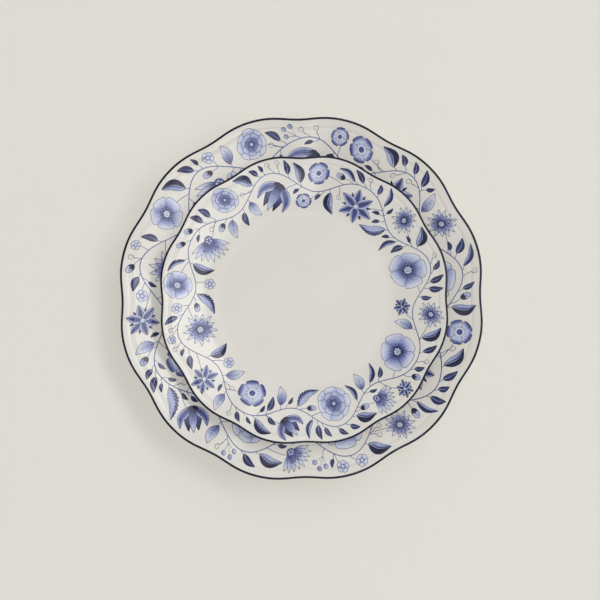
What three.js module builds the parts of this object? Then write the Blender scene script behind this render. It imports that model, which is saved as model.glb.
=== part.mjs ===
// A scalloped china dinner plate with its matching side plate stacked in it.
// Units are millimetres and +Z is up. The origin is on the table, under the centre of the dinner plate.
// Each plate is one piece of fired porcelain, turned from one profile: foot ring, flat well, shoulder,
// sloping rim with a moulded groove, and a round lip. The outline has twelve soft lobes.
import * as THREE from "three";

// Driving dimensions. Radii are those of the mean circle, before the lobes are added.
const DINNER = {
  name: "dinner_plate",
  lipRadius: 135,
  rimTop: 24, // height of the upper surface where the lip's rounding starts
  wellRadius: 77,
  wellTop: 6.4,
  bodyThickness: 4.4,
  lipThickness: 2.8,
  footOuter: 75,
  footInner: 70,
  grooveInset: 8.2, // the moulded groove lies this far inside the lip
};
const SIDE = {
  name: "side_plate",
  lipRadius: 107,
  rimTop: 20,
  wellRadius: 60,
  wellTop: 5.6,
  bodyThickness: 3.8,
  lipThickness: 2.5,
  footOuter: 58,
  footInner: 54,
  grooveInset: 6.6,
};
const LOBES = 12;
const LOBE_DEPTH = 0.0122; // half the outline's swing, as a share of the radius
const LOBE_FLATNESS = 0.13; // how far each lobe's crown is flattened
const LOBE_START = 0.6; // share of the radius where the round inner rim begins to swell into lobes
const LOBE_FULL = 0.9;
const SHOULDER_SHARE = 0.4; // share of the rim's width over which it turns up out of the well
const GROOVE_DEPTH = 0.35;
const GROOVE_HALF_WIDTH = 1.8;
const FOOT_DRAFT = 0.8; // the foot ring is this much narrower at the table on each side
const NEST_GAP = 0.3; // clearance between the side plate's foot ring and the dinner plate's well
const NEST_OFFSET = new THREE.Vector2(2.1, -1.2); // the side plate was set down a little off centre
const SEGMENTS_PER_LOBE = 8;
const LIP_STEPS = 4;
const RIM_STEPS = 8;

const CHINA = { color: 0xf0eee6, roughness: 0.12, metalness: 0 };

const lipCentre = (plate) => plate.lipRadius - plate.lipThickness / 2;

// Slope of the outer part of the rim, past the shoulder.
function rimSlope(plate) {
  const width = lipCentre(plate) - plate.wellRadius;
  return (plate.rimTop - plate.wellTop) / (width * (1 - SHOULDER_SHARE / 2));
}

// Height of the rim's upper surface above the well at radius r: a smooth turn, then an even slope.
function rimRise(plate, r) {
  const width = lipCentre(plate) - plate.wellRadius;
  const t = Math.max(0, (r - plate.wellRadius) / width);
  const w = SHOULDER_SHARE;
  const turned = t < w ? t ** 3 / w ** 2 - t ** 4 / (2 * w ** 3) : t - w / 2;
  return rimSlope(plate) * width * turned;
}

// The groove's depth at radius r: a raised-cosine hollow centred on its inset.
function grooveDepth(plate, r) {
  const off = Math.abs(r - (plate.lipRadius - plate.grooveInset)) / GROOVE_HALF_WIDTH;
  return off < 1 ? (GROOVE_DEPTH * (1 + Math.cos(Math.PI * off))) / 2 : 0;
}

// Wall thickness, measured straight down: even over the well, thinning towards the lip.
function thickness(plate, r) {
  const t = (r - plate.wellRadius) / (lipCentre(plate) - plate.wellRadius);
  return THREE.MathUtils.lerp(plate.bodyThickness, plate.lipThickness, THREE.MathUtils.clamp(t, 0, 1));
}

// The closed half-section from the axis under the plate, round the lip and back to the axis on top.
function section(plate) {
  const points = [];
  const add = (r, z) => points.push(new THREE.Vector2(r, z));
  const baseZ = plate.wellTop - plate.bodyThickness;
  const topAt = (r) => plate.wellTop + rimRise(plate, r) - grooveDepth(plate, r);
  const underAt = (r) => plate.wellTop + rimRise(plate, r) - thickness(plate, r);
  const rimRadius = (i) => plate.wellRadius + ((lipCentre(plate) - plate.wellRadius) * i) / RIM_STEPS;

  add(0, baseZ);
  add(plate.footInner - FOOT_DRAFT, baseZ);
  add(plate.footInner, 0);
  add(plate.footOuter, 0);
  add(plate.footOuter + FOOT_DRAFT, baseZ);
  for (let i = 1; i < RIM_STEPS; i++) add(rimRadius(i), underAt(rimRadius(i)));

  // The lip's arc is tilted with the rim so that it runs smoothly into both faces.
  const tilt = Math.atan(rimSlope(plate));
  const lipHalf = (plate.lipThickness / 2) * Math.cos(tilt);
  const lipZ = plate.rimTop - plate.lipThickness / 2;
  for (let i = 0; i <= LIP_STEPS; i++) {
    const turn = tilt - Math.PI / 2 + (Math.PI * i) / LIP_STEPS;
    add(lipCentre(plate) + lipHalf * Math.cos(turn), lipZ + lipHalf * Math.sin(turn));
  }

  const grooveCentre = plate.lipRadius - plate.grooveInset;
  for (const share of [1, 0.5, 0, -0.5, -1]) {
    const r = grooveCentre + share * GROOVE_HALF_WIDTH;
    add(r, topAt(r));
  }
  for (let i = RIM_STEPS - 1; i >= 0; i--) {
    if (rimRadius(i) < grooveCentre - 2 * GROOVE_HALF_WIDTH) add(rimRadius(i), topAt(rimRadius(i)));
  }
  add(0, plate.wellTop);
  return points;
}

// Swells a round geometry into lobes. The well and foot stay round, and the swelling grows towards the lip.
function scallop(geometry, plate) {
  const position = geometry.getAttribute("position");
  for (let i = 0; i < position.count; i++) {
    const x = position.getX(i);
    const y = position.getY(i);
    const share = Math.hypot(x, y) / plate.lipRadius;
    const grown = THREE.MathUtils.smoothstep(share, LOBE_START, LOBE_FULL);
    const phase = LOBES * Math.atan2(y, x) - Math.PI;
    const wave = Math.cos(phase) - LOBE_FLATNESS * Math.cos(2 * phase);
    const factor = 1 + LOBE_DEPTH * grown * wave;
    position.setX(i, x * factor);
    position.setY(i, y * factor);
  }
  geometry.computeVertexNormals();
  return geometry;
}

function makePlate(plate) {
  const geometry = new THREE.LatheGeometry(section(plate), LOBES * SEGMENTS_PER_LOBE);
  geometry.rotateX(Math.PI / 2);
  const mesh = new THREE.Mesh(scallop(geometry, plate), new THREE.MeshStandardMaterial(CHINA));
  mesh.name = plate.name;
  return mesh;
}

const dinnerPlate = makePlate(DINNER);
const sidePlate = makePlate(SIDE);
sidePlate.position.set(NEST_OFFSET.x, NEST_OFFSET.y, DINNER.wellTop + NEST_GAP);

const stack = new THREE.Group();
stack.add(dinnerPlate, sidePlate);

export default stack;
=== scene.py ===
"""A scalloped china dinner plate with a matching side plate stacked in it: surfaces, printed border, light.

Each plate's surface follows the same formulas as its CAD solid, in millimetres, and is made finer here. The
border is a generic one, set out by rule: a running stem with a flower in each bend, and side shoots wherever
there is room. It is drawn flat, and then draped over each plate's rim as a thin film of blue ink.
"""

import math

import bpy
import numpy as np
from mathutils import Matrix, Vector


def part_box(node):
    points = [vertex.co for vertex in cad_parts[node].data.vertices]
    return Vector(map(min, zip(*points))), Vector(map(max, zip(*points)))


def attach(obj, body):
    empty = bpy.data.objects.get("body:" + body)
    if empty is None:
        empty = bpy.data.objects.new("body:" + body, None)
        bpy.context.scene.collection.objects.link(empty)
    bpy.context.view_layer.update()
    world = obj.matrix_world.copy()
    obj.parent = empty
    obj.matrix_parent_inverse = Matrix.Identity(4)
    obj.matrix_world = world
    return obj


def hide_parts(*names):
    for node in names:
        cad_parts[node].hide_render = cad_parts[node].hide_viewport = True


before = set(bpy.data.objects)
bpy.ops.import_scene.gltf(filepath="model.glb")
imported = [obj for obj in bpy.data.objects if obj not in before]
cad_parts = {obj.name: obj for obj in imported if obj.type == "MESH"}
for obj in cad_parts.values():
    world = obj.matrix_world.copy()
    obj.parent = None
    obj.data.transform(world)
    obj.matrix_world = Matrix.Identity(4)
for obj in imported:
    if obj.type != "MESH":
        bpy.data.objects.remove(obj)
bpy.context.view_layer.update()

MM = 0.001

# --- Shape of the plates, in millimetres ---

LOBES = 12
LOBE_DEPTH = 0.0122  # half the outline's swing, as a share of the radius
LOBE_FLATNESS = 0.13  # how far each lobe's crown is flattened
LOBE_START = 0.6  # share of the radius where the round inner rim begins to swell into lobes
LOBE_FULL = 0.9  # and where it has its full swing
SHOULDER_SHARE = 0.4  # share of the rim's width over which it turns up out of the well
GROOVE_DEPTH = 0.35
GROOVE_HALF_WIDTH = 1.8
FOOT_DRAFT = 0.8  # the foot ring is this much narrower at the table on each side
FOOT_ROUNDING = 0.7  # how far along each side the foot ring's corners are rounded
LIP_INSET = 0.16  # the modelled lip stays this far inside the CAD solid's, so that the ink fits too
LIP_DROP = 0.23  # and this far below it
SEGMENTS = 480  # points round each ring of a plate
THETA = np.arange(SEGMENTS) * 2 * np.pi / SEGMENTS

# How finely a plate's section is divided.
ROUNDING_POINTS = 5
CENTRE_RADIUS = 4  # radius of the innermost ring, under the plate and on it
UNDER_WELL_RINGS = 9
UNDER_WELL_MARGIN = 2  # from the last of them to the foot ring
UNDER_RIM_RINGS = 26
UNDER_RIM_MARGIN = 1.5  # from the edge of the well and from the lip's middle
LIP_RINGS = 15
GROOVE_RINGS = 17
GROOVE_MARGIN = 0.2  # the fine rings go this far past the groove on each side
RIM_RINGS = 48
WELL_RINGS = 10

NORMAL_STEP = 0.02  # distance at which the surface's slope is taken


class Plate:
    """One plate's surface. rho is the radius before the lobes are added, theta the angle in radians."""

    def __init__(self, body, motif_scale, turn, waves, **sizes):
        self.body = body
        self.motif_scale = motif_scale
        self.turn = turn  # degrees by which the border is turned
        self.waves = waves  # swings of the border's running stem
        self.__dict__.update(sizes)
        low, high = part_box(body)
        self.centre = ((low.x + high.x) / 2 / MM, (low.y + high.y) / 2 / MM)
        self.base = low.z / MM
        self.rim_top -= LIP_DROP
        self.lip_centre = self.lip_radius - LIP_INSET - self.lip_thickness / 2
        self.width = self.lip_centre - self.well_radius
        self.slope = (self.rim_top - self.well_top) / (self.width * (1 - SHOULDER_SHARE / 2))
        self.lip_half = self.lip_thickness / 2 * math.cos(math.atan(self.slope))
        self.groove = self.lip_radius - self.groove_inset

    def rise(self, rho):
        """Height of the rim above the well: a smooth turn, then an even slope."""
        t = np.maximum(0, (np.asarray(rho, float) - self.well_radius) / self.width)
        w = SHOULDER_SHARE
        turned = np.where(t < w, t**3 / w**2 - t**4 / (2 * w**3), t - w / 2)
        return self.slope * self.width * turned

    def top(self, rho):
        """Height of the upper surface, as far as the lip's arc."""
        rho = np.asarray(rho, float)
        off = np.minimum(1, np.abs(rho - self.groove) / GROOVE_HALF_WIDTH)
        rim = self.well_top + self.rise(rho) - GROOVE_DEPTH * (1 + np.cos(np.pi * off)) / 2
        drop = np.sqrt(np.maximum(0, self.lip_half**2 - (rho - self.lip_centre) ** 2))
        arc = self.rim_top - self.lip_thickness / 2 + drop
        return np.where(rho > self.lip_centre - self.lip_half * math.sin(math.atan(self.slope)), arc, rim)

    def under(self, rho):
        """Height of the rim's underside."""
        t = np.clip((np.asarray(rho, float) - self.well_radius) / self.width, 0, 1)
        thickness = self.body_thickness + (self.lip_thickness - self.body_thickness) * t
        return self.well_top + self.rise(rho) - thickness

    def point(self, rho, theta, z):
        """Places in the row frame, in millimetres."""
        share = np.clip((rho / self.lip_radius - LOBE_START) / (LOBE_FULL - LOBE_START), 0, 1)
        phase = LOBES * theta - np.pi
        wave = np.cos(phase) - LOBE_FLATNESS * np.cos(2 * phase)
        r = rho * (1 + LOBE_DEPTH * share**2 * (3 - 2 * share) * wave)
        x = self.centre[0] + r * np.cos(theta)
        y = self.centre[1] + r * np.sin(theta)
        return np.stack((x, y, self.base + z + 0 * r), axis=-1)

    def glaze(self, rho, theta):
        """Points on the upper surface, and the surface's normals there."""
        farther, nearer = rho + NORMAL_STEP, rho - NORMAL_STEP
        outward = self.point(farther, theta, self.top(farther)) - self.point(nearer, theta, self.top(nearer))
        z = self.top(rho)
        turn = NORMAL_STEP / rho
        around = self.point(rho, theta + turn, z) - self.point(rho, theta - turn, z)
        normal = np.cross(outward, around)
        return self.point(rho, theta, z), normal / np.linalg.norm(normal, axis=-1, keepdims=True)

    def lip(self, turn, lift=0.0):
        """A point of the lip's arc, at turn radians above level, lifted off it."""
        z = self.rim_top - self.lip_thickness / 2
        half = self.lip_half + lift
        return self.lip_centre + half * np.cos(turn), z + half * np.sin(turn)

    def lip_top(self):
        """The turn at which the lip's arc meets the upper surface."""
        return math.pi / 2 + math.atan(self.slope)

    def flat(self, angle, share):
        """A place in the flat drawing, from degrees round the plate and a share of its radius."""
        a = math.radians(angle + self.turn)
        return share * self.lip_radius * math.cos(a), share * self.lip_radius * math.sin(a)


DINNER = Plate(
    "dinner_plate", motif_scale=1.16, turn=7, waves=9,
    lip_radius=135, rim_top=24, well_radius=77, well_top=6.4, body_thickness=4.4, lip_thickness=2.8,
    foot_outer=75, foot_inner=70, groove_inset=8.2,
)
SIDE = Plate(
    "side_plate", motif_scale=1.0, turn=15, waves=8,
    lip_radius=107, rim_top=20, well_radius=60, well_top=5.6, body_thickness=3.8, lip_thickness=2.5,
    foot_outer=58, foot_inner=54, groove_inset=6.6,
)


def rounded(corner, before, after, radius):
    """Points that round a corner of a profile off."""
    corner, before, after = (np.array(p, float) for p in (corner, before, after))
    start = corner + (before - corner) / np.linalg.norm(before - corner) * radius
    end = corner + (after - corner) / np.linalg.norm(after - corner) * radius
    t = np.linspace(0, 1, ROUNDING_POINTS)[:, None]
    return [tuple(p) for p in (1 - t) ** 2 * start + 2 * t * (1 - t) * corner + t**2 * end]


def section(plate):
    """The half-section from under the plate, round the lip, to the middle of the well.

    It comes with the numbers of the two points between which the foot is bare.
    """
    base = plate.well_top - plate.body_thickness
    under_foot = (plate.foot_inner - FOOT_DRAFT, base)
    inner, outer = (plate.foot_inner, 0), (plate.foot_outer, 0)
    beside_foot = (plate.foot_outer + FOOT_DRAFT, base)
    under_well = np.linspace(CENTRE_RADIUS, under_foot[0] - UNDER_WELL_MARGIN, UNDER_WELL_RINGS)
    points = [(rho, base) for rho in under_well]
    points += rounded(under_foot, (0, base), inner, FOOT_ROUNDING)
    points += rounded(inner, under_foot, outer, FOOT_ROUNDING)
    bare_from = len(points) - 1
    points += rounded(outer, inner, beside_foot, FOOT_ROUNDING)
    bare_to = len(points) - ROUNDING_POINTS
    points += rounded(beside_foot, outer, (plate.lip_radius, base), FOOT_ROUNDING)
    rim_start, rim_end = plate.well_radius + UNDER_RIM_MARGIN, plate.lip_centre - UNDER_RIM_MARGIN
    under_rim = np.linspace(rim_start, rim_end, UNDER_RIM_RINGS)
    points += list(zip(under_rim, plate.under(under_rim)))
    lip_turns = np.linspace(plate.lip_top() - math.pi, plate.lip_top(), LIP_RINGS)
    points += [plate.lip(turn) for turn in lip_turns]
    groove_edge = GROOVE_HALF_WIDTH + GROOVE_MARGIN
    over_groove = np.linspace(plate.groove + groove_edge, plate.groove - groove_edge, GROOVE_RINGS)
    points += list(zip(over_groove, plate.top(over_groove)))
    over_rim = np.linspace(plate.groove - groove_edge, plate.well_radius, RIM_RINGS)[1:]
    points += list(zip(over_rim, plate.top(over_rim)))
    over_well = np.linspace(plate.well_radius, CENTRE_RADIUS, WELL_RINGS)[1:]
    points += [(rho, plate.well_top) for rho in over_well]
    return points, (bare_from, bare_to)


# --- Mesh making ---


def in_scene(name, data):
    made = bpy.data.objects.new(name, data)
    bpy.context.scene.collection.objects.link(made)
    return made


def make_object(name, points, faces, body, normals=None):
    """A mesh from points in millimetres, riding on a body."""
    mesh = bpy.data.meshes.new(name)
    mesh.from_pydata((np.asarray(points) * MM).tolist(), [], faces)
    mesh.shade_smooth()
    if normals is not None:
        mesh.normals_split_custom_set_from_vertices(np.asarray(normals).tolist())
    made = in_scene(name, mesh)
    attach(made, body)
    return made


def ring_faces(rings, closed):
    """Quads between rings of SEGMENTS points each."""
    i = np.arange(rings if closed else rings - 1)[:, None]
    j = np.arange(SEGMENTS)[None, :]
    here, on = i * SEGMENTS, (i + 1) % rings * SEGMENTS
    following = (j + 1) % SEGMENTS
    quads = np.stack((here + j, here + following, on + following, on + j), axis=-1)
    return quads.reshape(-1, 4).tolist()


def make_plate(plate, glaze, bare_clay):
    """The plate's body: its section turned round the axis and closed at both centres."""
    profile, (bare_from, bare_to) = section(plate)
    rings = np.concatenate([plate.point(rho, THETA, z) for rho, z in profile])
    faces = ring_faces(len(profile), closed=False)
    poles = [plate.point(np.array(0.0), np.array(0.0), z) for z in (profile[0][1], profile[-1][1])]
    below, above = len(rings), len(rings) + 1
    last = (len(profile) - 1) * SEGMENTS
    for j in range(SEGMENTS):
        following = (j + 1) % SEGMENTS
        faces.append([following, j, below])
        faces.append([last + j, last + following, above])
    made = make_object(plate.body + "_china", np.vstack((rings, *poles)), faces, plate.body)
    made.data.materials.append(glaze)
    made.data.materials.append(bare_clay)
    material = np.zeros(len(faces), int)
    material[bare_from * SEGMENTS : bare_to * SEGMENTS] = 1
    made.data.polygons.foreach_set("material_index", material)
    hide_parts(plate.body)


EDGE_LINE_START = 1.86  # radians above level at which the line round the lip begins
EDGE_LINE_END = -0.3
EDGE_LINE_WAVES = (5, 9, 17, 31, 53)  # swings of its inner edge, each in counts round the plate
EDGE_LINE_WOBBLE = 0.12  # strength of these swings, in radians
EDGE_LINE_LIFT = 0.06  # it stands this far out of the glaze, and reaches as far into it
EDGE_LINE_RINGS = 12


def make_edge_line(plate, ink):
    """The hand-banded line round the lip: a film over the outer part of the lip's arc."""
    wobble = sum(np.sin(n * THETA + n * n) / n for n in EDGE_LINE_WAVES) * EDGE_LINE_WOBBLE
    outside, inside = [], []
    for lift, rings in ((EDGE_LINE_LIFT, outside), (-EDGE_LINE_LIFT, inside)):
        for share in np.linspace(0, 1, EDGE_LINE_RINGS):
            turn = EDGE_LINE_START + (EDGE_LINE_END - EDGE_LINE_START) * share + (1 - share) * wobble
            rho, z = plate.lip(turn, lift)
            rings.append(plate.point(rho, THETA, z))
    rings = outside + inside[::-1]
    faces = [face[::-1] for face in ring_faces(len(rings), closed=True)]
    made = make_object(plate.body + "_edge_line", np.concatenate(rings), faces, plate.body)
    made.data.materials.append(ink)


# --- Drawing kit for the border: flat shapes in millimetres ---

CURVE_STEP = 0.55  # distance between the points of a line
THINNEST = 0.05  # least half width of a band
OUTLINE = 0.27  # width of the line round a filled shape
HAIRLINE = 0.17  # half width of a fine line
FILL_COLUMNS = 4  # cells across a filled shape
BLANK, PALE, SOFT, MID, DEEP, DARK, INK = 0.0, 0.14, 0.3, 0.46, 0.64, 0.84, 1.0  # tones of the ink


def curve(points):
    """A smooth line through the points, sampled evenly."""
    p = np.array(points, float)
    ghost = np.vstack((2 * p[0] - p[1], p, 2 * p[-1] - p[-2]))
    stretches = []
    for a, b, c, d in zip(ghost, ghost[1:], ghost[2:], ghost[3:]):
        count = max(3, math.ceil(np.linalg.norm(c - b) / CURVE_STEP))
        t = np.arange(count)[:, None] / count
        bend = 2 * a - 5 * b + 4 * c - d
        stretches.append(0.5 * (2 * b + (c - a) * t + bend * t**2 + (3 * b - a - 3 * c + d) * t**3))
    return np.vstack((*stretches, p[-1:]))


# Outlines: half width as a share of the shape's, against the share t of its length.
def round_tip(t):
    return 1.35 * t**0.75 * np.sqrt(np.maximum(0, 1 - t**6))


def pointed(t):
    return np.sin(np.pi * np.clip(t, 0, 1) ** 0.8)


def oval(t):
    return 2 * np.sqrt(np.maximum(0, t * (1 - t)))


def steady(t):
    return 1 + 0 * t


def even(t):
    return 1 - 0.35 * t**3


def tapering(t):
    return 1 - 0.75 * t


def toothed(count, depth):
    """A pointed leaf outline with teeth that lean towards the tip."""
    return lambda t: np.sin(np.pi * np.clip(t, 0, 1) ** 0.75) * (1 - depth + depth * ((t * count) % 1))


# Tones, against t and the share a across the shape, from -1 at its right to 1 at its left.
def fade(start, end):
    return lambda t, a: start + (end - start) * t + 0 * a


def glow(start, end, reach):
    """From start at the foot to end at the reach, a share of the length, and the same beyond it."""
    return lambda t, a: start + (end - start) * np.clip(t / reach, 0, 1) ** 0.8 + 0 * a


def tipped(body, tip):
    """One tone for the body, and another towards the tip."""
    return lambda t, a: body + (tip - body) * np.clip((t - 0.6) / 0.3, 0, 1) + 0 * a


def halves(left, right):
    return lambda t, a: np.where(a + 0 * t > 0.01, left, right)


def rimmed(middle, edge):
    """From one tone along the middle to another at both edges."""
    return lambda t, a: middle + (edge - middle) * np.abs(a) ** 1.5 + 0 * t


def turned(points, degrees):
    """Flat points, turned anticlockwise round the origin."""
    a = math.radians(degrees)
    x, y = np.asarray(points, float)[..., 0], np.asarray(points, float)[..., 1]
    return np.stack((x * math.cos(a) - y * math.sin(a), x * math.sin(a) + y * math.cos(a)), axis=-1)


class Drawing:
    """A list of shapes. Each is a grid of places with their tones, its level and its ink sheet."""

    def __init__(self):
        self.shapes = []

    def band(self, points, half, tone, level=0, sheet="lines", across=2):
        """A band along a smooth line. half is its half width, or a pair of that and an outline."""
        line = curve(points)
        width, form = half if isinstance(half, tuple) else (half, tapering)
        t = np.linspace(0, 1, len(line))[:, None]
        a = np.linspace(-1, 1, across + 1)[None, :]
        along = np.gradient(line, axis=0)
        along /= np.linalg.norm(along, axis=1, keepdims=True)
        side = np.stack((-along[:, 1], along[:, 0]), axis=1)
        reach = np.maximum(THINNEST, width * form(t)) * a
        tones = tone(t, a) if callable(tone) else tone
        grid = line[:, None] + side[:, None] * reach[..., None]
        self.shapes.append((grid, np.broadcast_to(tones, grid.shape[:2]), level, sheet))

    def shape(self, points, width, form, tone, level=0):
        """A filled shape with a dark line round it."""
        p = np.array(points, float)
        ends = [p[0] - p[1], p[-1] - p[-2]]
        longer = p.copy()
        longer[0] += ends[0] / np.linalg.norm(ends[0]) * OUTLINE
        longer[-1] += ends[1] / np.linalg.norm(ends[1]) * OUTLINE
        self.band(longer, (1.0, lambda t: width * form(t) + OUTLINE), INK, level)
        self.band(p, (width, form), tone, level + 1, "fills", FILL_COLUMNS)

    def vein(self, points, width, form, track, tone=INK, level=2, thick=HAIRLINE):
        """A fine line inside a shape: track gives places as (share along, share across)."""
        line = curve(points)
        along = np.gradient(line, axis=0)
        along /= np.linalg.norm(along, axis=1, keepdims=True)
        places = []
        for t, a in track:
            i = min(len(line) - 1, int(t * (len(line) - 1)))
            reach = float(width * form(np.array(t)) * a)
            places.append(line[i] + reach * np.array((-along[i, 1], along[i, 0])))
        self.band(places, thick, tone, level)

    def disc(self, centre, radius, tone, level, line=None, sheet="fills"):
        """A round spot, with a line of the given tone round it if there is one."""
        x, y = centre
        if line is not None:
            outer = radius + OUTLINE
            self.band([(x - outer, y), (x, y), (x + outer, y)], (outer, oval), line, level)
            level += 1
        self.band([(x - radius, y), (x, y), (x + radius, y)], (radius, oval), tone, level, sheet)

    def add(self, plant, reach, at, turn=0.0):
        """Draws a smaller plant as part of this one."""
        part = Drawing()
        plant(part, reach)
        for grid, tones, level, sheet in part.shapes:
            self.shapes.append((turned(grid, turn) + np.array(at), tones, level, sheet))

    def stamp(self, other, at, turn, scale, family, level):
        """Adds another drawing, turned, scaled and moved."""
        for grid, tones, own_level, sheet in other.shapes:
            placed = turned(grid * scale, turn) + np.array(at)
            self.shapes.append((placed, tones, level + own_level, f"{family}_{sheet}"))


# --- Plants ---
# Each is drawn round the origin, or growing from it towards +Y. r is its reach in millimetres.


# Places on a petal or leaf are shares of its length and of its half width.
VEIN_START = 0.12
VEIN_REACH = 0.72  # where a petal's middle vein ends
VEIN_SHORTENING = 0.35  # how much sooner a vein would end that ran along the petal's edge
VEIN_STAGGER = 0.12  # every other one ends this much sooner still
VEIN_SPREAD = 1.1  # from the first vein to the last
VEIN_GATHERING = 0.7  # how far the veins draw together towards the foot
UNEVEN_TURN = 40  # a petal that is longer by a share also turns by this many degrees times that share
LEVELS_OVER = 3  # a petal that overlaps its neighbours lies this many levels above them
ANTHER_RADIUS = 0.34


def petal(d, turn, length, width, tone, level, bend, veins, form=round_tip, foot=(0, 0)):
    """A petal that leaves the foot at turn degrees from +Y and bends sideways."""
    middle = np.array([(0, 0), (bend * length * 0.3, length / 2), (bend * length, length)])
    points = turned(middle, turn) + np.array(foot)
    d.shape(points, width / 2, form, tone, level)
    for k in range(veins):
        a = (k - (veins - 1) / 2) * VEIN_SPREAD / max(1, veins - 1)
        reach = VEIN_REACH - VEIN_SHORTENING * abs(a) - (VEIN_STAGGER if k % 2 else 0)
        track = [(VEIN_START, a * VEIN_GATHERING), (reach / 2, a), (reach, a)]
        d.vein(points, width / 2, form, track, level=level + 2)


def whorl(d, count, length, width, tone, span=360.0, turn=0.0, level=0, uneven=0.0, **how):
    """Petals set round a full circle or across a span, every other one on top of its neighbours."""
    for k in range(count):
        angle = turn + (k * span / count if span >= 360 else -span / 2 + k * span / (count - 1))
        sway = uneven * math.sin(2.4 * k + 0.5 * count)  # irregular from petal to petal
        over = level + LEVELS_OVER * (k % 2)
        petal(d, angle + UNEVEN_TURN * sway, length * (1 + sway), width, tone, over, sway, **how)


def stamens(d, inner, outer, count, level):
    """A ring of fine threads with a dot at the end of each."""
    for k in range(count):
        thread = turned([(0, inner), (0, outer)], k * 360 / count)
        d.band(thread, HAIRLINE / 1.5, INK, level)
        d.disc(thread[1], ANTHER_RADIUS, INK, level, sheet="lines")


def beads(d, r, level):
    """A cluster of small seeds: a ring of seven, and one in the middle."""
    for ring, count in ((0.62, 7), (0.0, 1)):
        for k in range(count):
            at = turned([(0, ring * r)], k * 360 / count + 20)[0]
            d.disc(at, 0.27 * r, PALE, level, line=DARK)


def poppy(d, r):
    """Broad petals round a ring of stamens."""
    whorl(d, 5, r, 1.02 * r, glow(INK, BLANK, 0.95), uneven=0.05, veins=5)
    d.disc((0, 0), 0.28 * r, DARK, 6)
    stamens(d, 0.2 * r, 0.42 * r, 16, 6)
    beads(d, 0.24 * r, 7)


def primrose(d, r):
    """Five rounded petals with dark tips and a pale eye."""
    whorl(d, 5, r, 0.92 * r, tipped(PALE, DEEP), uneven=0.03, veins=3)
    d.disc((0, 0), 0.36 * r, BLANK, 7)
    d.disc((0, 0), 0.2 * r, DEEP, 8, line=INK)


def daisy(d, r):
    """Two rings of narrow petals round a seeded disc."""
    outer, inner = glow(DARK, BLANK, 0.85), glow(INK, SOFT, 0.9)
    whorl(d, 13, r, 0.3 * r, outer, uneven=0.07, form=pointed, veins=1)
    whorl(d, 11, 0.7 * r, 0.28 * r, inner, turn=13, level=6, uneven=0.05, form=pointed, veins=1)
    d.disc((0, 0), 0.27 * r, DARK, 12, line=INK)
    beads(d, 0.21 * r, 13)


def rosette(d, r):
    """Rings of rounded petals, darker towards the middle."""
    for ring, (count, reach, edge) in enumerate(((8, 1.0, BLANK), (7, 0.7, PALE))):
        width, tone = 0.76 * reach * r, glow(INK, edge, 0.95)
        whorl(d, count, reach * r, width, tone, turn=20 * ring, level=6 * ring, uneven=0.04, veins=3)
    whorl(d, 5, 0.42 * r, 0.4 * r, glow(INK, MID, 0.9), turn=40, level=12, veins=0)
    d.disc((0, 0), 0.1 * r, PALE, 17, line=INK)


def star_blossom(d, r):
    """Six pointed petals, each with a dark middle, over six short sepals."""
    whorl(d, 6, 0.8 * r, 0.2 * r, DARK, turn=30, form=pointed, veins=0)
    whorl(d, 6, r, 0.54 * r, rimmed(DARK, BLANK), level=5, uneven=0.06, form=pointed, veins=3)
    d.disc((0, 0), 0.14 * r, PALE, 11, line=INK)


def cup_flower(d, r):
    """A cup seen from the side: upright petals on a small calyx."""
    foot = np.array((0, -0.8 * r))
    tones = (glow(SOFT, INK, 1.0), rimmed(DEEP, PALE), glow(INK, PALE, 0.9))
    half = 0.27 * r
    for k, lean in enumerate((-0.26, 0.26, -0.7, 0.7, 0.0)):  # two behind, two at the sides, one in front
        height = (1.75 - 0.5 * abs(lean)) * r
        points = [foot, foot + (lean * 1.1 * r, 0.7 * r), foot + (lean * 1.25 * r, height)]
        level = LEVELS_OVER * (k // 2)
        d.shape(points, half, pointed, tones[k // 2], level)
        for across in (-0.5, 0.0, 0.5):
            track = [(0.1, across), (0.4, across), (0.76, across)]
            d.vein(points, half, pointed, track, level=level + 2)
    whorl(d, 4, 0.42 * r, 0.18 * r, INK, 130, level=9, form=pointed, veins=0, foot=foot)


def fan_flower(d, r):
    """Narrow rays that spread from a round, scaled base."""
    foot = np.array((0, -0.5 * r))
    outer, inner = glow(INK, BLANK, 0.8), glow(INK, MID, 0.8)
    whorl(d, 9, 1.4 * r, 0.34 * r, outer, 130, uneven=0.04, form=pointed, veins=1, foot=foot)
    whorl(d, 5, 0.8 * r, 0.24 * r, inner, 80, level=6, form=pointed, veins=0, foot=foot)
    d.disc(foot, 0.28 * r, DEEP, 10, line=INK)
    for k in range(5):
        d.disc(foot + turned([(0, 0.15 * r)], 72 * k)[0], 0.06 * r, PALE, 12)


def tiny_flower(d, r):
    """Five small round petals and an eye."""
    whorl(d, 5, r, 0.86 * r, glow(DEEP, BLANK, 0.8), veins=0)
    d.disc((0, 0), 0.26 * r, BLANK, 6, line=INK)


def bud(d, r):
    """A closed oval bud in a small calyx."""
    points = [(0, 0), (0, r / 2), (0, r)]
    d.shape(points, 0.3 * r, oval, fade(MID, PALE))
    d.vein(points, 0.3 * r, oval, [(0.3, 0), (0.6, 0), (0.9, 0)])
    whorl(d, 3, 0.5 * r, 0.2 * r, INK, 70, level=2, form=pointed, veins=0)


def berries(d, r):
    """Three berries on forked stalks."""
    for angle, reach in ((-34, 0.82), (32, 0.74), (0, 1.0)):
        tip = turned([(0, reach * r)], angle)[0]
        d.band([(0, 0), tip / 2, tip], HAIRLINE, DEEP)
        d.disc(tip, 0.16 * r, glow(PALE, MID, 1.0), 1, line=INK)


def tendril(d, r):
    """A fine stalk that curls up on itself."""
    points = [(0, 0)]
    for k in range(11):
        turn, reach = 0.75 * k, 0.3 * r * (1 - k / 14)
        points.append((reach * math.sin(turn), 0.68 * r - reach * math.cos(turn)))
    d.band(points, 1.3 * HAIRLINE, INK)


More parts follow.
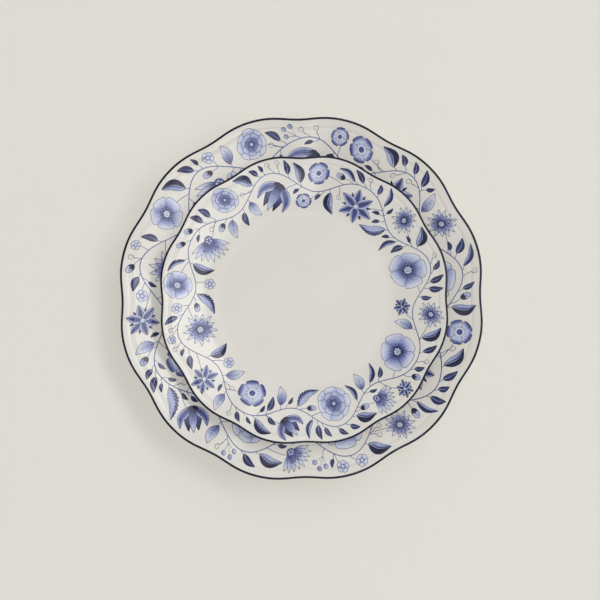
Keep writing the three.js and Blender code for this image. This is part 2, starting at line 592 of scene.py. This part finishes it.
def leaf(d, r, width, bend, form=pointed, tone=DARK, veins=0, midrib=None):
    """A leaf that grows from its stalk end. It may have a midrib, and short veins on both sides of it."""
    points = [(0, 0), (bend * r, 0.5 * r), (0, r)]
    half = width * r / 2
    d.shape(points, half, form, tone)
    if midrib is not None:
        d.vein(points, half, form, [(0.04, 0), (0.5, 0), (0.93, 0)], midrib, 2)
    for k in range(veins):
        t = 0.14 + 0.66 * k / veins
        for side in (-1, 1):
            track = [(t, 0.1 * side), (t + 0.09, 0.8 * side)]
            d.vein(points, half, pointed, track, midrib, 2, HAIRLINE / 1.4)


def dark_leaf(d, r):
    leaf(d, r, 0.42, 0.1, midrib=SOFT)


def small_leaf(d, r):
    leaf(d, r, 0.42, 0.1)


def slim_leaf(d, r):
    leaf(d, r, 0.24, 0.14, tone=halves(SOFT, DARK))


def two_tone_leaf(d, r):
    leaf(d, r, 0.44, 0.16, tone=halves(SOFT, INK), midrib=PALE)


def saw_leaf(d, r):
    leaf(d, r, 0.4, -0.14, toothed(10, 0.3), halves(DARK, SOFT), veins=7, midrib=PALE)


def veined_leaf(d, r):
    leaf(d, r, 0.5, 0.08, tone=glow(DEEP, BLANK, 0.8), veins=6, midrib=INK)


def pinnate_leaf(d, r):
    """Three pairs of leaflets along a rib, and one at its end."""
    rib = [(0, 0), (0.06 * r, 0.4 * r), (0, 0.78 * r)]
    line = curve(rib)
    for k in range(3):
        foot = line[int((0.3 + 0.26 * k) * (len(line) - 1))]
        for side in (-1, 1):
            d.add(small_leaf, 0.36 * r * (1 - 0.1 * k), foot, 55 * side)
    d.add(small_leaf, 0.34 * r, rib[-1])
    d.band(rib, STALK_HALF_WIDTH, INK, 2)


# --- The border's layout, set out by rule ---

BORDER_SEED = 5
STEM_SHARE = 0.825  # middle of the running stem's swing, as a share of the plate's radius
STEM_SWING = 0.07
STEM_STEP = 3  # degrees between the points that set the running stem out
STEM_HALF_WIDTH = 0.3
STALK_HALF_WIDTH = 0.2
STALK_LEAVES = 0.55  # a flower's stalk leaves the stem this share of a bend before the flower
STALK_HALFWAY = 0.3  # and is halfway this share before it
INNER_FLOWER_SHARE = 0.745  # middles of the flowers inside and outside the running stem
OUTER_FLOWER_SHARE = 0.88
OUTER_FLOWER_SIZE = 0.78
INNER_FLOWER_TURN = 135  # degrees between straight outward and the way a flower faces
OUTER_FLOWER_TURN = 45
BORDER_INNER = 0.615  # the side shoots' plants keep between these shares of the radius
BORDER_OUTER = 0.975
BEND_FLOWERS = (
    (poppy, 13.0),
    (daisy, 11.5),
    (star_blossom, 13.0),
    (primrose, 10.0),
    (cup_flower, 12.0),
    (rosette, 12.0),
    (fan_flower, 11.5),
)
# Plants of the side shoots: family, plant, reach, how much their stalks' length varies, and tries for each.
SHOOTS = (
    ("leaf", saw_leaf, 19, 2, 160),
    ("leaf", pinnate_leaf, 18, 2, 160),
    ("leaf", two_tone_leaf, 15, 2, 260),
    ("leaf", veined_leaf, 13, 2, 200),
    ("flower", primrose, 5.6, 12, 500),
    ("flower", star_blossom, 6.2, 12, 300),
    ("leaf", slim_leaf, 14, 2, 300),
    ("leaf", dark_leaf, 10, 4, 500),
    ("spray", berries, 8.5, 4, 300),
    ("flower", tiny_flower, 3.7, 9, 700),
    ("spray", bud, 6.5, 8, 500),
    ("spray", tendril, 7, 2, 300),
    ("leaf", dark_leaf, 7.4, 3, 800),
    ("flower", tiny_flower, 2.9, 8, 600),
    ("leaf", small_leaf, 5.2, 3, 1500),
)
SHOOT_EVERY = 7  # side shoots may start at every seventh point of the stem
SHOOT_LEAN = (20, 80)  # degrees between a shoot and what it grows from
SHOOT_BOW = 0.16  # radians by which its stalk bows to the side
SHORTEST_STALK = 1.6
STALK_SPREAD = (0.3, 1)  # a stalk gets a random share of its varying length, between these
SPROUTING = 2  # stalks that vary by more than this can bear further shoots
ROUND_PLANTS = (primrose, star_blossom, tiny_flower)  # these are set down by their middles
CELL = 0.5  # side of the cells in the map of taken places
CLEARANCE = 2  # cells kept free round each plant
LEVELS = {"leaf": 1, "spray": 2, "flower": 5}  # lowest ink level of each family


def towards(degrees):
    return np.array((math.cos(math.radians(degrees)), math.sin(math.radians(degrees))))


class Border(Drawing):
    """A plate's border, with a map of the places that are already taken."""

    def __init__(self, plate):
        super().__init__()
        self.plate = plate
        self.half = math.ceil(plate.lip_radius / CELL) + 2 * CLEARANCE
        self.taken = np.zeros((2 * self.half, 2 * self.half), bool)

    def cells(self, points):
        """Rows and columns of the map's cells under the points."""
        return tuple(np.clip((points / CELL + self.half).astype(int), 0, 2 * self.half - 1).T)

    def take(self, points):
        """Marks the cells under the points, and those near them, as taken."""
        for right in range(-CLEARANCE, CLEARANCE + 1):
            for up in range(-CLEARANCE, CLEARANCE + 1):
                self.taken[self.cells(points + np.array((right, up)) * CELL)] = True

    def has_room(self, points):
        """Whether the points are inside the border and on free cells."""
        share = np.hypot(points[:, 0], points[:, 1]) / self.plate.lip_radius
        inside = share.min() > BORDER_INNER and share.max() < BORDER_OUTER
        return inside and not self.taken[self.cells(points)].any()

    def plant(self, family, drawn, footprint, at, heading):
        """Sets a plant down so that it grows from a place towards a heading."""
        self.stamp(drawn, at, heading - 90, self.plate.motif_scale, family, LEVELS[family])
        self.take(turned(footprint, heading - 90) + at)

    def stalk(self, points, half=STALK_HALF_WIDTH, form=even):
        self.band(points, (half * self.plate.motif_scale, form), DEEP, 0, "stems")


def drawn_plant(plate, plant, reach):
    """A plant's drawing, and the places that it covers at the plate's scale."""
    drawn = Drawing()
    plant(drawn, reach)
    covered = [refined(grid, tones, CELL)[0].reshape(-1, 2) for grid, tones, _, _ in drawn.shapes]
    return drawn, np.vstack(covered) * plate.motif_scale


def stem_share(plate, angle):
    """The running stem's share of the radius at an angle."""
    return STEM_SHARE + STEM_SWING * math.cos(math.radians(plate.waves * angle))


def draw_bends(border):
    """The running stem, and a flower on a stalk in each of its bends, by turns inside and outside it.

    Returns the places where side shoots may start, each with the stem's direction in degrees.
    """
    plate = border.plate
    bend = 180 / plate.waves
    angles = np.arange(0, 360 + STEM_STEP, STEM_STEP)
    stem = [plate.flat(angle, stem_share(plate, angle)) for angle in angles]
    border.stalk(stem, STEM_HALF_WIDTH, steady)
    for k in range(2 * plate.waves):
        plant, reach = BEND_FLOWERS[k % len(BEND_FLOWERS)]
        share = OUTER_FLOWER_SHARE if k % 2 else INNER_FLOWER_SHARE
        size = reach * (OUTER_FLOWER_SIZE if k % 2 else 1)
        middle = np.array(plate.flat(k * bend, share))
        start = (k - STALK_LEAVES) * bend
        foot = plate.flat(start, stem_share(plate, start))
        halfway = plate.flat((k - STALK_HALFWAY) * bend, (stem_share(plate, start) + share) / 2)
        border.stalk([foot, halfway, middle])
        outward = k * bend + plate.turn
        heading = outward + (OUTER_FLOWER_TURN if k % 2 else INNER_FLOWER_TURN)
        border.plant("flower", *drawn_plant(plate, plant, size), middle, heading)
    line = curve(stem)
    along = np.gradient(line, axis=0)
    border.take(line)
    shoots = zip(line[::SHOOT_EVERY], along[::SHOOT_EVERY])
    return [(place, math.degrees(math.atan2(y, x))) for place, (x, y) in shoots]


def draw_shoots(border, nodes):
    """Side shoots, tried at random places along what has grown so far and kept where there is room."""
    rng = np.random.default_rng(BORDER_SEED)
    scale = border.plate.motif_scale
    for family, plant, reach, varying, tries in SHOOTS:
        drawn, footprint = drawn_plant(border.plate, plant, reach)
        for _ in range(tries):
            root, grown = nodes[rng.integers(len(nodes))]
            side = rng.choice((-1, 1))
            heading = grown + side * rng.uniform(*SHOOT_LEAN)
            length = scale * (SHORTEST_STALK + rng.uniform(*STALK_SPREAD) * varying)
            if plant in ROUND_PLANTS:
                length += reach * scale
            tip = root + towards(heading) * length
            middle = root + towards(heading + side * math.degrees(SHOOT_BOW)) * length / 2
            if border.has_room(turned(footprint, heading - 90) + tip):
                border.stalk([root, middle, tip])
                border.plant(family, drawn, footprint, tip, heading)
                if varying > SPROUTING:
                    nodes.append((middle, heading))


def draw_border(plate):
    border = Border(plate)
    draw_shoots(border, draw_bends(border))
    return border


# --- Draping the border over a plate ---

FILM_LIFT = 0.035  # height of the lowest ink level above the glaze
LEVEL_STEP = 0.012
NUDGE = 0.0016  # keeps shapes of one level from lying in one plane
NUDGES = 7
FILM_ROOT = 0.03  # how far each film reaches below the glaze
GROOVE_STEP = 0.45  # longest side of a film's cells where they cross the groove
GROOVE_REACH = 2.4  # films nearer than this to the groove's middle are made so fine
OPEN_STEP = 1.3  # longest side of the cells elsewhere
LIP_LIMIT = 0.4  # the border may reach this share of the lip's half thickness past the lip's middle
LEAST_REACH = 0.3  # a shape that starts nearer to that limit than this is left out
LIP_FADE = 3.0  # over this distance before the lip the ink levels close up
LIP_SHARE = 0.3  # to this share of their height


def refined(grid, values, step):
    """The grid with every cell's sides split to at most step."""
    stacked = np.dstack((grid, values))
    for axis in (0, 1):
        sides = np.linalg.norm(np.diff(stacked[..., :2], axis=axis), axis=-1)
        parts = max(1, math.ceil(sides.max() / step))
        count = (stacked.shape[axis] - 1) * parts + 1
        at = np.arange(count) / parts
        low = np.minimum(at.astype(int), stacked.shape[axis] - 2)
        share = (at - low).reshape((-1, 1, 1) if axis == 0 else (1, -1, 1))
        stacked = np.take(stacked, low, axis) * (1 - share) + np.take(stacked, low + 1, axis) * share
    return stacked[..., :2], stacked[..., 2]


def grid_faces(rows, columns):
    """Quads between the points of a grid."""
    i, j = np.meshgrid(np.arange(rows - 1), np.arange(columns - 1), indexing="ij")
    first = i * columns + j
    return np.stack((first, first + columns, first + columns + 1, first + 1), axis=-1).reshape(-1, 4)


def film(plate, grid, tones, lift):
    """One shape as a thin closed shell over the glaze, cut off at the lip.

    Gives its points, normals, tones and faces, or None where nothing of it is left.
    """
    reach = np.hypot(grid[..., 0], grid[..., 1])
    limit = plate.lip_centre + LIP_LIMIT * plate.lip_half
    if reach.min() > limit - LEAST_REACH:
        return None
    crosses = reach.max() > plate.groove - GROOVE_REACH and reach.min() < plate.groove + GROOVE_REACH
    grid, tones = refined(grid, tones, GROOVE_STEP if crosses else OPEN_STEP)
    rho = np.hypot(grid[..., 0], grid[..., 1]).ravel()
    theta = np.arctan2(grid[..., 1], grid[..., 0]).ravel()
    faces = grid_faces(*grid.shape[:2])
    a, b, c = (grid.reshape(-1, 2)[faces[:, k]] for k in (0, 1, 3))
    area = np.median(np.cross(b - a, c - a))
    faces = faces if area > 0 else faces[:, ::-1]
    faces = faces[(rho[faces] < limit).any(axis=1)]
    if not len(faces):
        return None
    used, faces = np.unique(faces, return_inverse=True)
    faces = faces.reshape(-1, 4)
    points, normals = plate.glaze(np.minimum(rho[used], limit), theta[used])
    near_lip = np.clip((limit - rho[used]) / LIP_FADE, 0, 1)[:, None]
    lift = lift * (LIP_SHARE + (1 - LIP_SHARE) * near_lip)
    count = len(used)
    edges = np.stack((faces, np.roll(faces, -1, axis=1)), axis=-1).reshape(-1, 2)
    _, index, repeats = np.unique(np.sort(edges, axis=1), axis=0, return_index=True, return_counts=True)
    rim = edges[index[repeats == 1]]  # edges with a face on one side only
    walls = np.stack((rim[:, 1], rim[:, 0], rim[:, 0] + count, rim[:, 1] + count), axis=-1)
    shell = np.vstack((faces, faces[:, ::-1] + count, walls))
    both = np.vstack((points + normals * lift, points - normals * FILM_ROOT))
    return both, np.vstack((normals, normals)), np.tile(tones.ravel()[used], 2), shell


def drape(plate, border, sheet, material):
    """All the border's shapes of one ink sheet, as one piece on the plate."""
    points, normals, tones, faces, total = [], [], [], [], 0
    for index, (grid, tone, level, name) in enumerate(border.shapes):
        if name != sheet:
            continue
        lift = FILM_LIFT + LEVEL_STEP * level + NUDGE * (index % NUDGES)
        made = film(plate, grid, tone, lift)
        if made is None:
            continue
        points.append(made[0])
        normals.append(made[1])
        tones.append(made[2])
        faces.append(made[3] + total)
        total += len(made[0])
    quads = np.vstack(faces).tolist()
    piece = make_object(f"{plate.body}_{sheet}", np.vstack(points), quads, plate.body, np.vstack(normals))
    attribute = piece.data.attributes.new("tone", "FLOAT", "POINT")
    attribute.data.foreach_set("value", np.concatenate(tones).astype(np.float32))
    piece.data.materials.append(material)


# --- Materials ---


def srgb(red, green, blue):
    """A colour given as 0 to 255 on a screen, as linear light."""
    shares = [c / 255 for c in (red, green, blue)]
    return (*[((c + 0.055) / 1.055) ** 2.4 if c > 0.04045 else c / 12.92 for c in shares], 1.0)


class Nodes:
    """A material's node tree, with short ways to add and join nodes."""

    def __init__(self, name):
        self.material = bpy.data.materials.new(name)
        self.material.use_nodes = True
        self.tree = self.material.node_tree
        self.shader = self.tree.nodes["Principled BSDF"]
        self.place = self.add("ShaderNodeTexCoord").outputs["Object"]

    def add(self, kind, **values):
        node = self.tree.nodes.new(kind)
        for key, value in values.items():
            setattr(node, key, value)
        return node

    def join(self, source, target):
        self.tree.links.new(source, target)

    def noise(self, size_mm, detail=3.0, roughness=0.5):
        """Soft noise from 0 to 1 whose features are about size_mm across."""
        node = self.add("ShaderNodeTexNoise")
        node.inputs["Scale"].default_value = 1 / (size_mm * MM)
        node.inputs["Detail"].default_value = detail
        node.inputs["Roughness"].default_value = roughness
        self.join(self.place, node.inputs["Vector"])
        return node.outputs["Fac"]

    def between(self, value, low, high, to_low, to_high):
        """A value from low to high, stretched to run from to_low to to_high."""
        node = self.add("ShaderNodeMapRange")
        limits = {"From Min": low, "From Max": high, "To Min": to_low, "To Max": to_high}
        for key, number in limits.items():
            node.inputs[key].default_value = number
        self.join(value, node.inputs["Value"])
        return node.outputs["Result"]

    def mix(self, share, first, second):
        """A colour between two, which may be nodes' outputs or plain colours."""
        node = self.add("ShaderNodeMix", data_type="RGBA")
        for key, value in (("Factor", share), ("A", first), ("B", second)):
            sockets = [s for s in node.inputs if s.name == key]
            socket = next(s for s in sockets if s.type == "RGBA" or key == "Factor")
            if isinstance(value, bpy.types.NodeSocket):
                self.join(value, socket)
            else:
                socket.default_value = value
        return next(s for s in node.outputs if s.type == "RGBA")

    def bump(self, height, depth_mm):
        """Relief from a height of 0 to 1, depth_mm deep."""
        bump = self.add("ShaderNodeBump")
        bump.inputs["Strength"].default_value = 1.0
        bump.inputs["Distance"].default_value = depth_mm * MM
        self.join(height, bump.inputs["Height"])
        self.join(bump.outputs["Normal"], self.shader.inputs["Normal"])

    def gloss(self, low, high):
        """The clear glaze's polish and its faint ripple, the same on china and on ink."""
        self.shader.inputs["IOR"].default_value = GLAZE_IOR
        self.join(self.between(self.noise(14), 0.35, 0.65, low, high), self.shader.inputs["Roughness"])
        self.bump(self.noise(11, 2.0), GLAZE_RIPPLE)


GLAZE_IOR = 1.52
GLAZE_RIPPLE = 0.016  # depth in millimetres
GLAZE_ROUGHNESS = (0.1, 0.16)
CLAY_ROUGHNESS = (0.55, 0.8)
CLAY_GRAIN = 0.05  # depth in millimetres
CHINA_WHITE = srgb(225, 222, 215)
CHINA_SHADE = srgb(223, 220, 212)
BARE_CLAY = srgb(206, 199, 186)
BARE_SPECK = srgb(150, 140, 124)


def make_glaze():
    """White glaze with slow patches of warmer tint and a few fine specks."""
    n = Nodes("glazed_china")
    patches = n.between(n.noise(38), 0.4, 0.6, 0, 1)
    tint = n.mix(patches, CHINA_WHITE, CHINA_SHADE)
    specks = n.between(n.noise(0.9, 1.0), 0.78, 0.82, 0, 0.35)
    n.join(n.mix(specks, tint, BARE_SPECK), n.shader.inputs["Base Color"])
    n.gloss(*GLAZE_ROUGHNESS)
    return n.material


def make_bare_clay():
    """Unglazed, grainy clay of the foot ring."""
    n = Nodes("unglazed_foot")
    grain = n.between(n.noise(0.5, 5.0, 0.7), 0.35, 0.75, 0, 1)
    n.join(n.mix(grain, BARE_CLAY, BARE_SPECK), n.shader.inputs["Base Color"])
    n.join(n.between(n.noise(1.2), 0.3, 0.7, *CLAY_ROUGHNESS), n.shader.inputs["Roughness"])
    n.bump(n.noise(0.4, 4.0), CLAY_GRAIN)
    return n.material


INK_RAMP = (  # the ink's colour at each tone, from the thinnest wash to full ink
    (0.0, srgb(214, 217, 230)),
    (0.2, srgb(180, 187, 214)),
    (0.42, srgb(120, 131, 182)),
    (0.62, srgb(72, 82, 142)),
    (0.82, srgb(40, 46, 95)),
    (1.0, srgb(26, 28, 58)),
)
WASH_MOTTLE = 0.13  # how far the print's grain shifts the tone, in fills and in lines
LINE_MOTTLE = 0.07


def make_ink(name, mottle):
    """Cobalt ink under the glaze: its tone, broken up by the fine grain of a transfer print."""
    n = Nodes(name)
    tone = n.add("ShaderNodeAttribute", attribute_name="tone").outputs["Fac"]
    grain = n.between(n.noise(0.55, 4.0, 0.65), 0.3, 0.7, -mottle, mottle)
    wash = n.between(n.noise(9), 0.35, 0.65, -mottle / 2, mottle / 2)
    grained = n.add("ShaderNodeMath", operation="ADD")
    n.join(tone, grained.inputs[0])
    n.join(grain, grained.inputs[1])
    washed = n.add("ShaderNodeMath", operation="ADD", use_clamp=True)
    n.join(grained.outputs[0], washed.inputs[0])
    n.join(wash, washed.inputs[1])
    ramp = n.add("ShaderNodeValToRGB")
    stops = ramp.color_ramp.elements
    for k, (place, colour) in enumerate(INK_RAMP):
        stop = stops[k] if k < 2 else stops.new(place)  # a new ramp already has two stops
        stop.position = place
        stop.color = colour
    n.join(washed.outputs[0], ramp.inputs["Fac"])
    n.join(ramp.outputs["Color"], n.shader.inputs["Base Color"])
    n.gloss(*GLAZE_ROUGHNESS)
    return n.material


BAND_SPECULAR = 0.3  # the edge line is brushed on thickly and is less glossy than the printed ink
BAND_ROUGHNESS = (0.12, 0.2)
BAND_DARK = srgb(12, 13, 32)
BAND_LIGHT = srgb(22, 24, 56)


def make_band_ink():
    """Ink of the edge line, darker where the brush carried more of it."""
    n = Nodes("edge_line_ink")
    load = n.between(n.noise(16, 4.0), 0.35, 0.68, 0, 1)
    n.join(n.mix(load, BAND_DARK, BAND_LIGHT), n.shader.inputs["Base Color"])
    n.gloss(*BAND_ROUGHNESS)
    n.shader.inputs["Specular IOR Level"].default_value = BAND_SPECULAR
    return n.material


# --- Stage: camera, light and floor ---

CAMERA_HEIGHT = 1600.0  # above the table, in millimetres
FIELD = 443.1  # width of the view at the rim, in millimetres
CAMERA_ROLL = math.radians(-0.95)
CAMERA_OFFSET = (-0.98, -1.23)  # from the dinner plate's axis, in millimetres
SENSOR = 36.0
SOFTBOX_DISTANCE = 6.0  # in metres, as are the sizes of the lights and the floor
WORLD_STRENGTH = 0.45
FLOOR_HALF = 15.0
FLOOR_DROP = 0.0002  # keeps the foot ring and the floor from lying in one plane
FLOOR_PALE = srgb(230, 228, 221)
FLOOR_SHADE = srgb(229, 227, 220)


def make_camera():
    """A camera that looks straight down at the plates."""
    data = bpy.data.cameras.new("camera")
    data.sensor_width = SENSOR
    data.lens = SENSOR * (CAMERA_HEIGHT - DINNER.rim_top) / FIELD
    camera = in_scene("camera", data)
    camera.location = (CAMERA_OFFSET[0] * MM, CAMERA_OFFSET[1] * MM, CAMERA_HEIGHT * MM)
    camera.rotation_euler = (0, 0, CAMERA_ROLL)
    bpy.context.scene.camera = camera


def make_softbox(name, azimuth, elevation, width, height, power):
    """A flat panel that faces the plates, seen from them at azimuth and elevation in degrees."""
    data = bpy.data.lights.new(name, "AREA")
    data.shape = "RECTANGLE"
    data.size = width
    data.size_y = height
    data.energy = power
    light = in_scene(name, data)
    a, e = math.radians(azimuth), math.radians(elevation)
    towards_light = (math.cos(a) * math.cos(e), math.sin(a) * math.cos(e), math.sin(e))
    light.location = [SOFTBOX_DISTANCE * c for c in towards_light]
    light.rotation_euler = (math.pi / 2 - e, 0, a + math.pi / 2)
    return light


def make_fill(name, azimuth, elevation, strength):
    """Even light bounced from a side of the studio: it throws no shadow and shows in no reflection."""
    data = bpy.data.lights.new(name, "SUN")
    data.energy = strength
    data.angle = 0.0
    data.use_shadow = False
    light = in_scene(name, data)
    light.rotation_euler = (math.pi / 2 - math.radians(elevation), 0, math.radians(azimuth) + math.pi / 2)
    light.visible_glossy = False


def make_world():
    """Even white light from all round."""
    world = bpy.data.worlds.new("studio")
    world.use_nodes = True
    background = world.node_tree.nodes["Background"]
    background.inputs["Color"].default_value = (1, 1, 1, 1)
    background.inputs["Strength"].default_value = WORLD_STRENGTH
    bpy.context.scene.world = world


def make_floor():
    """A plain sheet of pale paper."""
    mesh = bpy.data.meshes.new("floor")
    corners = [(x * FLOOR_HALF, y * FLOOR_HALF, 0) for x, y in ((-1, -1), (1, -1), (1, 1), (-1, 1))]
    mesh.from_pydata(corners, [], [(0, 1, 2, 3)])
    floor = in_scene("floor", mesh)
    floor.location.z = -FLOOR_DROP
    n = Nodes("floor_paper")
    n.join(n.mix(n.noise(60), FLOOR_PALE, FLOOR_SHADE), n.shader.inputs["Base Color"])
    n.shader.inputs["Roughness"].default_value = 0.9
    n.shader.inputs["Specular IOR Level"].default_value = 0.1
    mesh.materials.append(n.material)


def make_stage():
    """The camera, nine lights, the world and the floor."""
    make_camera()
    make_softbox("key_softbox", azimuth=25, elevation=48, width=4.8, height=1.8, power=60)
    make_softbox("low_softbox", azimuth=-12, elevation=46, width=2.6, height=2.1, power=8)
    make_softbox("overhead_panel", azimuth=-15, elevation=85, width=1.8, height=1.05, power=3)
    top = make_softbox("top_softbox", azimuth=70, elevation=38, width=2.7, height=2.1, power=25)
    top.visible_glossy = False
    veil = make_softbox("veil_softbox", azimuth=8, elevation=47, width=5.0, height=2.1, power=38)
    veil.visible_diffuse = False  # it only lays a soft shine over the left-hand rims
    reflectors = (
        ("side_reflector", -55, 6.0, 90),
        ("far_reflector", 95, 3.6, 25),
        ("back_reflector", 210, 6.0, 25),
    )
    for name, azimuth, width, power in reflectors:
        reflector = make_softbox(name, azimuth, elevation=48, width=width, height=2.1, power=power)
        reflector.data.use_shadow = False
        reflector.data.cycles.use_multiple_importance_sampling = False  # which would shadow it in part
    make_fill("upper_fill", azimuth=80, elevation=40, strength=0.25)
    make_world()
    make_floor()
    bpy.context.scene.view_settings.view_transform = "Standard"


# --- Everything ---


def make_everything():
    glaze, bare_clay = make_glaze(), make_bare_clay()
    wash, line = make_ink("cobalt_wash", WASH_MOTTLE), make_ink("cobalt_line", LINE_MOTTLE)
    band_ink = make_band_ink()
    for plate in (DINNER, SIDE):
        make_plate(plate, glaze, bare_clay)
        make_edge_line(plate, band_ink)
        border = draw_border(plate)
        for sheet in sorted({shape[3] for shape in border.shapes}):
            drape(plate, border, sheet, wash if sheet.endswith("fills") else line)
    make_stage()


make_everything()
